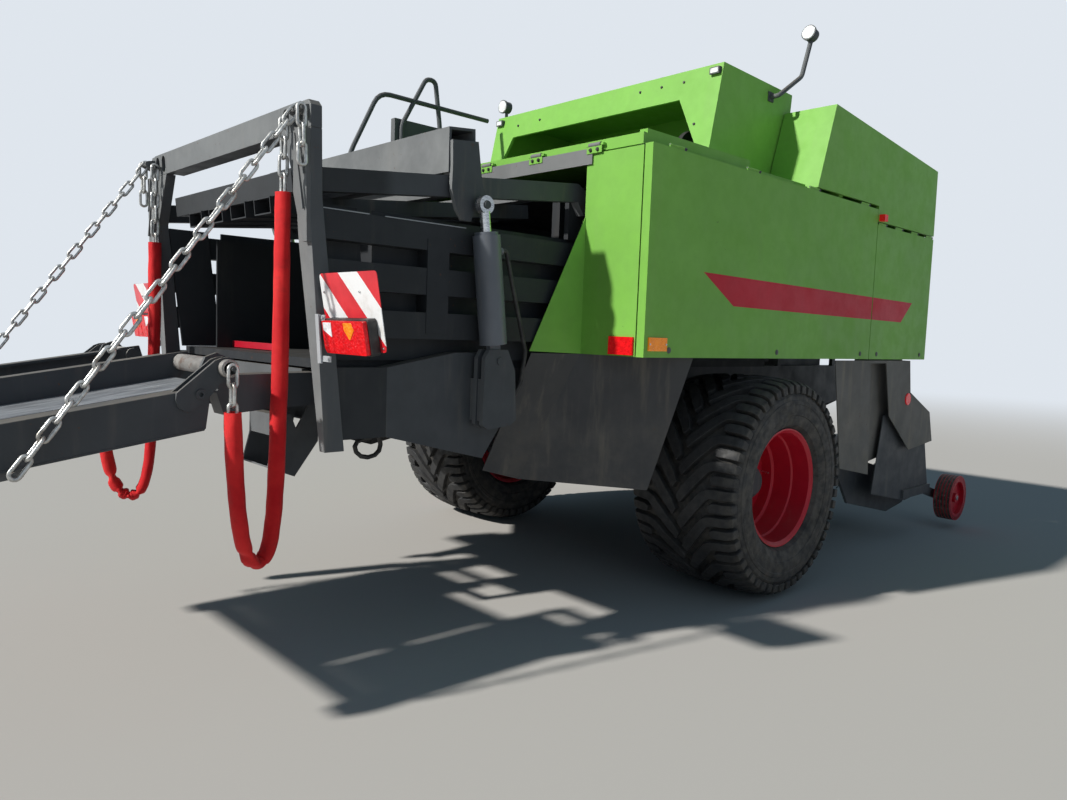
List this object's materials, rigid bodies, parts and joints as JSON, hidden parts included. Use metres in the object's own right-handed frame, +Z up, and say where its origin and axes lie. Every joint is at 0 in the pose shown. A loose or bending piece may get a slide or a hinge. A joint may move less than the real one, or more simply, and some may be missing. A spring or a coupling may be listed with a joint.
{
  "type": "large square baler",
  "caption": "Towed large square baler: channel bale chamber with rear portal and density yoke, folding chute on chains, side doors, flotation tyres, pickup, drawbar and parking stand",
  "frame": {"origin": "on the ground, halfway between the tip of the bale chute and the tip of the hitch eye, which is below the axle, on the machine's middle plane", "axes": "+X points forward to the tractor, +Y to the machine's left, +Z up"},
  "size_m": [8.3998, 3.1, 3.6169],
  "materials": {
    "green_paint": "satin",
    "dark_paint": "satin",
    "grey_paint": "worn",
    "red_paint": "gloss",
    "red_sleeve": "woven",
    "tyre_rubber": "matte",
    "hose_rubber": "matte",
    "zinc": "galvanised",
    "lens_red": "gloss",
    "lens_amber": "gloss",
    "board": "reflective"
  },
  "bodies": {
    "baler": {"main_frame": "dark_paint", "axle": "dark_paint", "drawbar": "dark_paint", "chamber_floor": "dark_paint", "chamber_sides": "dark_paint", "chamber_roof": "dark_paint", "side_sills": "dark_paint", "rear_portal": "dark_paint", "chute_mounts": "dark_paint", "hanging_chain_right": "red_sleeve", "hanging_chain_left": "red_sleeve", "cylinder_barrels": "dark_paint", "cylinder_brackets": "dark_paint", "door_rails": "dark_paint", "rear_panels": "green_paint", "rear_skirts": "dark_paint", "front_skirts": "grey_paint", "front_hood": "green_paint", "knotter_hood": "green_paint", "knotter_shaft": "dark_paint", "deck": "green_paint", "railing": "dark_paint", "work_lamps": "dark_paint", "marker_lamps": "lens_red", "warning_boards": "board", "twine_racks": "grey_paint", "gearbox": "dark_paint", "hoses": "hose_rubber"},
    "wheel_right": {"tyre_right": "tyre_rubber", "rim_right": "red_paint", "hub_right": "dark_paint"},
    "wheel_left": {"tyre_left": "tyre_rubber", "rim_left": "red_paint", "hub_left": "dark_paint"},
    "yoke": {"density_yoke": "dark_paint"},
    "rod_right": {"cylinder_rod_right": "zinc"},
    "rod_left": {"cylinder_rod_left": "zinc"},
    "chute": {"chute": "dark_paint"},
    "chain_right": {"chain_right": "zinc"},
    "chain_left": {"chain_left": "zinc"},
    "side_door_right": {"side_door_right": "green_paint", "reflector_right": "lens_amber"},
    "side_door_left": {"side_door_left": "green_paint", "reflector_left": "lens_amber"},
    "front_door_right": {"front_door_right": "green_paint"},
    "front_door_left": {"front_door_left": "green_paint"},
    "flap": {"rear_flap": "grey_paint"},
    "stand": {"stand": "dark_paint"},
    "flywheel": {"flywheel": "dark_paint"},
    "pickup": {"pickup_frame": "dark_paint"},
    "reel": {"pickup_reel": "dark_paint"},
    "gauge_wheel_right": {"gauge_wheel_right": "red_paint"},
    "gauge_wheel_left": {"gauge_wheel_left": "red_paint"},
    "roller": {"chute_roller": "dark_paint"}
  },
  "joints": [
    {"name": "wheel_right_spin", "type": "hinge", "parent": "baler", "child": "wheel_right", "pos_m": [0, -1.2, 0.66], "axis": [0, 1, 0], "continuous": true},
    {"name": "wheel_left_spin", "type": "hinge", "parent": "baler", "child": "wheel_left", "pos_m": [0, 1.2, 0.66], "axis": [0, 1, 0], "continuous": true},
    {"name": "yoke_lift", "type": "hinge", "parent": "baler", "child": "yoke", "pos_m": [-1.156, 0, 2.2], "axis": [0, 1, 0], "range_deg": [-1.5, 4]},
    {"name": "rod_right_slide", "type": "slide", "parent": "baler", "child": "rod_right", "axis": [-0.1235, 0, 0.9923], "range_m": [-0.03, 0.06]},
    {"name": "rod_left_slide", "type": "slide", "parent": "baler", "child": "rod_left", "axis": [-0.1235, 0, 0.9923], "range_m": [-0.03, 0.06]},
    {"name": "chute_fold", "type": "hinge", "parent": "baler", "child": "chute", "pos_m": [-3.07, 0, 1.347], "axis": [0, 1, 0], "range_deg": [0, 95]},
    {"name": "chain_right_swing", "type": "hinge", "parent": "baler", "child": "chain_right", "pos_m": [-2.826, -0.87, 2.368], "axis": [0, 1, 0], "range_deg": [-20, 0]},
    {"name": "chain_left_swing", "type": "hinge", "parent": "baler", "child": "chain_left", "pos_m": [-2.826, 0.87, 2.368], "axis": [0, 1, 0], "range_deg": [-20, 0]},
    {"name": "side_door_right_lift", "type": "hinge", "parent": "baler", "child": "side_door_right", "pos_m": [0, -1.392, 2.474], "axis": [-1, 0, 0], "range_deg": [0, 75]},
    {"name": "side_door_left_lift", "type": "hinge", "parent": "baler", "child": "side_door_left", "pos_m": [0, 1.392, 2.474], "axis": [1, 0, 0], "range_deg": [0, 75]},
    {"name": "front_door_right_lift", "type": "hinge", "parent": "baler", "child": "front_door_right", "pos_m": [1.7, -1.392, 2.369], "axis": [-1, 0, 0], "range_deg": [0, 75]},
    {"name": "front_door_left_lift", "type": "hinge", "parent": "baler", "child": "front_door_left", "pos_m": [1.7, 1.392, 2.369], "axis": [1, 0, 0], "range_deg": [0, 75]},
    {"name": "flap_swing", "type": "hinge", "parent": "baler", "child": "flap", "pos_m": [-1.256, 0, 2.495], "axis": [0, 1, 0], "range_deg": [0, 80]},
    {"name": "stand_swing", "type": "hinge", "parent": "baler", "child": "stand", "pos_m": [3.3, 0.19, 0.59], "axis": [0, 1, 0], "range_deg": [0, 90]},
    {"name": "flywheel_spin", "type": "hinge", "parent": "baler", "child": "flywheel", "pos_m": [2.29, 0, 1.7], "axis": [1, 0, 0], "continuous": true},
    {"name": "pickup_lift", "type": "hinge", "parent": "baler", "child": "pickup", "pos_m": [1.25, 0, 0.76], "axis": [0, -1, 0], "range_deg": [-2, 12]},
    {"name": "reel_spin", "type": "hinge", "parent": "pickup", "child": "reel", "pos_m": [2.25, 0, 0.44], "axis": [0, 1, 0], "continuous": true},
    {"name": "gauge_wheel_right_spin", "type": "hinge", "parent": "pickup", "child": "gauge_wheel_right", "pos_m": [2.93, -1.43, 0.256], "axis": [0, 1, 0], "continuous": true},
    {"name": "gauge_wheel_left_spin", "type": "hinge", "parent": "pickup", "child": "gauge_wheel_left", "pos_m": [2.93, 1.43, 0.256], "axis": [0, 1, 0], "continuous": true},
    {"name": "chute_roller_spin", "type": "hinge", "parent": "chute", "child": "roller", "pos_m": [-4.152, 0, 1.10063], "axis": [0, 1, 0], "continuous": true}
  ],
  "couplings": [
    {"joint": "rod_right_slide", "follows": "yoke_lift", "m_per_rad": 0.7794},
    {"joint": "rod_left_slide", "follows": "yoke_lift", "m_per_rad": 0.7794},
    {"joint": "chain_right_swing", "follows": "chute_fold", "ratio": -0.18},
    {"joint": "chain_left_swing", "follows": "chute_fold", "ratio": -0.18}
  ]
}
